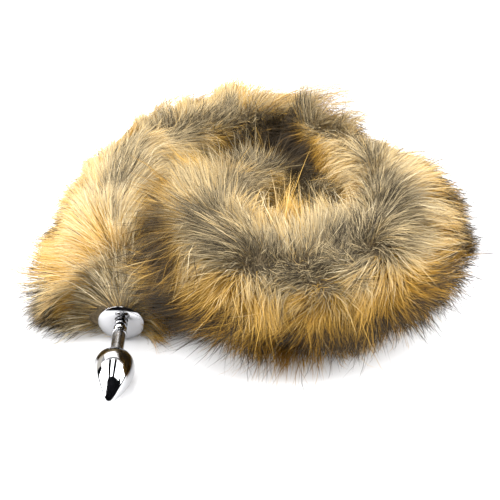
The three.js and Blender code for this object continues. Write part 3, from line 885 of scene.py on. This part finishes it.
def strands(clump, guides):
    """Points, outward directions, angles and stray marks of the hairs of the given clumps."""
    t = STRAND_STEPS
    count = len(clump)
    loosen = 1 - LOOSEN * t**0.8
    spread_x = draw.normal(0, CLUMP_SPREAD, count)[:, None]
    spread_y = draw.normal(0, CLUMP_SPREAD, count)[:, None]
    share = guides["share"][clump] + spread_x * loosen / TAIL_LENGTH
    angle = guides["angle"][clump] + spread_y * loosen / ARC_RADIUS
    length = 1 + draw.normal(0, 0.05, count)[:, None]
    by_disc = by_the_disc(guides["x"][clump])
    stray = np.where(draw.random(count) < STRAY_SHARE + STRAY_SHARE_BY_DISC * by_disc, 1.0, 0.0)[:, None]
    length = length + stray * (1 - by_disc[:, None]) * np.abs(draw.normal(*STRAY_LENGTH, count))[:, None]
    reach = ROOT_REACH + (guides["reach"][clump] - ROOT_REACH) * length
    ahead = np.maximum(0.0015 - share, 0) * TAIL_LENGTH
    share = np.clip(share, 0.0015, 0.999)
    lowest = LOWEST_HAIR + LOWEST_SPREAD * draw.random(count)[:, None] * np.ones_like(t)
    points = pile_point(share, angle, reach, lowest)
    later = (t**1.6)[:, None]
    wander = draw.normal(0, 1, (count, 1, 3)) * later * WANDER
    wander = wander + draw.normal(0, 1, (count, 1, 3)) * stray[..., None] * later * STRAY_WANDER
    wave = np.sin(t * 5 + draw.random(count)[:, None] * math.tau)[..., None]
    wave = wave * draw.normal(0, WAVE, (count, 1, 3))
    points = points + wander + wave
    points[..., 2] = np.maximum(points[..., 2], lowest)
    # Near the limits of the part's box the hairs bend back inside it.
    for axis, soft_limit in ((0, SOFT_SIDE), (1, SOFT_BACK), (2, SOFT_CEILING)):
        size = np.abs(points[..., axis])
        over = np.maximum(size - soft_limit, 0)
        held = np.minimum(size, soft_limit) + SOFT_ROOM * np.tanh(over / SOFT_ROOM)
        points[..., axis] = np.sign(points[..., axis]) * held
    # Hairs at the mouth curl forward round the disc's rim, and beside the disc they stay behind it.
    middle = np.array(mouth)
    axis_way = np.array(plug_axis)
    distance = np.linalg.norm(points - middle, axis=-1)
    ahead = ahead * np.clip((distance - CURL_BEYOND[0]) / CURL_BEYOND[1], 0, 1)
    points = points + axis_way * ahead[..., None]
    from_mouth = points - middle
    forward = from_mouth @ axis_way
    beside = np.linalg.norm(from_mouth - forward[..., None] * axis_way, axis=-1)
    near = np.clip((BEHIND_WITHIN[0] - beside) / BEHIND_WITHIN[1], 0, 1)
    held_back = np.maximum(forward + BEHIND_BY, 0) * near
    points = points - axis_way * held_back[..., None]
    points[..., 2] = np.maximum(points[..., 2], lowest)
    outward = points - spine_value("at", share)
    outward /= np.linalg.norm(outward, axis=-1, keepdims=True)
    return points, outward, angle, stray


def hair_colours(clump, guides, angle, points, outward, stray):
    """The hair chart's place for each point: across is its lightness and up is its tone from grey to gold,
    with painted shade and painted light in both.
    """
    t = STRAND_STEPS
    count = len(clump)
    away = np.degrees(np.abs(angle - guides["parting"][clump][:, None]))
    patch = guides["patch"][clump][:, None]
    along_tail = guides["x"][clump] / TAIL_LENGTH
    strength = from_table(OPENINGS, along_tail)[:, None]
    opening = np.clip(1.15 - (away + 12 * patch) / (30 * np.maximum(strength, 1)), 0, 1) * strength
    by_disc = by_the_disc(guides["x"][clump][:, None])
    opening = np.maximum(opening, 0.80 * by_disc)
    # A third of the hairs in the openings are pale ones lying across.
    opening = opening * np.where(draw.random(count) < PALE_ACROSS, 0.25, 1.0)[:, None]
    golden = np.clip((away - 46 + 12 * patch) / 60, 0, 1)
    golden = golden * from_table(GOLDEN_ALONG, along_tail)[:, None]
    # The hairs that hang down the two ends of the coil are a deeper gold.
    ends = np.clip(outward[..., 0] - 0.2, 0, 1) * 1.1 + np.clip(-0.2 - outward[..., 0], 0, 1) * 0.4
    golden = np.minimum(golden + ends * np.clip((away - 45) / 40, 0, 1), 1.3)
    golden = golden * (1 - by_disc)
    local = from_table(LIGHTNESS, along_tail)[:, None]
    # Painted shade: hairs in the creases and the deep gaps get a darker tone and lightness.
    crease_press_and_shade = guides["crease_press_and_shade"][clump][:, None]
    deep = np.maximum(guides["deep"][clump][:, None], deep_place(points))
    creases_and_gaps_shade = np.maximum(crease_press_and_shade, deep)
    # Painted shade: the front of each turn is darkened, as it is lit least, and least of all near the table.
    shaded = np.clip((0.095 - points[..., 2]) / 0.060, 0, 1) * (1 - 0.8 * by_disc)
    shaded = shaded * from_table(SHADED_ALONG, along_tail)[:, None]
    shaded = shaded * np.clip(0.35 - 0.75 * outward[..., 1] - 0.80 * np.clip(outward[..., 0], 0, 1), 0.08, 1)
    sideways = 36 * np.clip(outward[..., 0], 0, 1) + 20 * np.clip(-outward[..., 0], 0, 1)
    low = np.clip((-3 + 1.5 * sideways - np.degrees(angle)) / 34, 0, 1) * (1 - 0.6 * by_disc)
    lock_tone = guides["lock_tone"][clump][:, None]
    tone = TONE["plain"] + TONE["golden"] * golden - TONE["opening"] * opening + TONE["creases_and_gaps_shade"] * creases_and_gaps_shade
    tone = tone + TONE["shaded"] * shaded + TONE["lock"] * lock_tone
    light = LIGHT["plain"] + LIGHT["by_disc"] * by_disc + local - LIGHT["opening"] * opening
    light = light - LIGHT["crease_press_and_shade"] * crease_press_and_shade - LIGHT["deep"] * deep - LIGHT["shaded"] * shaded
    light = light + LIGHT["lock"] * lock_tone
    # Painted shade makes the inner side of the far turn a deeper, darker gold, and painted light lightens the
    # lowest hairs, as if light came back from the table.
    far_turn_shade = from_table(FAR_TURN_SHADE, along_tail)[:, None]
    far_turn_shade = far_turn_shade * np.clip((np.degrees(angle) - 120) / 30, 0, 1)
    tone = tone + TONE["far"] * far_turn_shade
    table_bounce_light = np.clip(1 - points[..., 2] / TABLE_LIGHT_HEIGHT, 0, 1)
    light = light - LIGHT["far"] * far_turn_shade + LIGHT["table"] * table_bounce_light
    # The root is dark: grey where the pile divides and ochre elsewhere, partly the hairs' own colour and
    # partly painted shade deep in the pile. The colour comes in further up.
    rise = np.clip((t - 0.05) / 0.55, 0, 1)
    root_tone = 0.90 - 0.74 * np.clip(opening * 2, 0, 1)
    tone = root_tone + (tone - root_tone) * (0.30 + 0.70 * rise)
    light = 0.34 + (light - 0.34) * (0.20 + 0.80 * rise)
    tone = tone + 0.035 * draw.normal(0, 1, count)[:, None]
    light = light + (0.09 + 0.07 * opening[:, -1:]) * draw.normal(0, 1, count)[:, None]
    pale = (draw.random(count) < PALE_HAIRS)[:, None] * 0.25 * t
    light = np.clip(light + pale, 0.06, 0.98)
    # Black tips are commonest low down, and commoner still on the stray hairs there.
    tip_low = low[:, -1]
    black_share = BLACK["plain"] + BLACK["low"] * tip_low + BLACK["opening"] * opening[:, -1]
    black_share = black_share + BLACK["stray"] * stray[:, 0] * np.clip(2 * tip_low, 0, 1)
    black = (draw.random(count) < black_share)[:, None] * np.clip((t - 0.45) / 0.25, 0, 1)
    light = light * (1 - black) + 0.03 * black
    return np.clip(light, 0.01, 0.99), np.clip(tone, 0.02, 0.98)


def hair_finish():
    """Colour read from the hair chart, lit partly through the hairs as real pile is."""
    finish = Finish("pile")
    chart = finish.node("ShaderNodeUVMap", {"uv_map": "OFBake"}, {})
    light = finish.node("ShaderNodeSeparateXYZ", {}, {0: chart}, "X")
    tone = Value(finish, light.socket.node.outputs["Y"])
    colour = finish.node("ShaderNodeValToRGB", {"stops": CHART_TONES}, {0: tone})
    dark = finish.spread(light, 0.0, 0.5, 1.0, 0.0)
    pale = finish.spread(light, 0.5, 1.0, 0.0, 1.0)
    colour = finish.blend(dark, colour, CHART_DARK)
    colour = finish.blend(pale, colour, CHART_PALE)
    solid = finish.node("ShaderNodeBsdfPrincipled", {}, {
        "Base Color": colour, "Roughness": HAIR_ROUGHNESS, "Specular IOR Level": HAIR_SPECULAR,
    })
    through = finish.node("ShaderNodeBsdfTranslucent", {}, {"Color": colour})
    return finish.surface(finish.node("ShaderNodeMixShader", {}, {0: LIT_THROUGH, 1: solid, 2: through}))


def on_ribbon(left, right):
    """Values at a ribbon's corners: left and right at each step, then one at the tip."""
    count, steps, size = left.shape
    laid = np.empty((count, 2 * steps - 1, size), np.float32)
    laid[:, 0:-1:2] = left[:, :-1]
    laid[:, 1::2] = right[:, :-1]
    laid[:, -1] = left[:, -1]
    return laid


def strand_mesh(name, points, outward, light, tone, material):
    """Tapered ribbons along the hairs, each turned to face about outwards."""
    count = len(points)
    way = np.gradient(points, axis=1)
    way /= np.linalg.norm(way, axis=-1, keepdims=True) + 1e-12
    flat = np.cross(outward, way)
    flat /= np.linalg.norm(flat, axis=-1, keepdims=True) + 1e-9
    normal = np.cross(way, flat)
    roll = draw.uniform(-0.9, 0.9, (count, 1, 1))
    across = flat * np.cos(roll) + normal * np.sin(roll)
    facing_way = normal * np.cos(roll) - flat * np.sin(roll)
    width = STRAND_WIDTH * (0.7 + 0.6 * draw.random((count, 1, 1))) * WIDTH_ALONG[:, None]
    verts = on_ribbon(points - across * width / 2, points + across * width / 2)
    per = verts.shape[1]
    quads = np.array([(low + 1, low, low + 2, low + 3) for low in range(0, per - 3, 2)])
    tip = np.array([per - 2, per - 3, per - 1])
    loops = np.concatenate([quads.ravel(), tip])[None, :] + (np.arange(count) * per)[:, None]
    sizes = np.tile([4] * len(quads) + [3], count)
    mesh = bpy.data.meshes.new(name)
    mesh.vertices.add(count * per)
    mesh.vertices.foreach_set("co", verts.ravel())
    mesh.loops.add(loops.size)
    mesh.loops.foreach_set("vertex_index", loops.ravel().astype(np.int32))
    mesh.polygons.add(len(sizes))
    starts = np.r_[0, np.cumsum(sizes)[:-1]]
    mesh.polygons.foreach_set("loop_start", starts.astype(np.int32))
    mesh.update(calc_edges=True)
    chart = np.stack([light, tone], -1)
    layer = mesh.uv_layers.new(name="OFBake")
    layer.data.foreach_set("uv", on_ribbon(chart, chart).reshape(-1, 2)[loops.ravel()].ravel())
    # The shading leans outwards and up, so that the pile is lit as a mass and not hair by hair.
    shade = outward * 0.75 + facing_way * 0.65 + np.array((0.0, 0.0, 0.22))
    shade /= np.linalg.norm(shade, axis=-1, keepdims=True)
    mesh.shade_smooth()
    mesh.normals_split_custom_set_from_vertices(on_ribbon(shade, shade).reshape(-1, 3))
    mesh.materials.append(material)
    made = bpy.data.objects.new(name, mesh)
    bpy.context.scene.collection.objects.link(made)
    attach(made, "root")


guides = groom()
pile = hair_finish()
for piece in range(PILE_PIECES):
    clump = draw.integers(0, CLUMPS, STRANDS_EACH)
    points, outward, angle, stray = strands(clump, guides)
    light, tone = hair_colours(clump, guides, angle, points, outward, stray)
    strand_mesh(f"pile_hairs_{piece + 1}", points, outward, light, tone, pile)
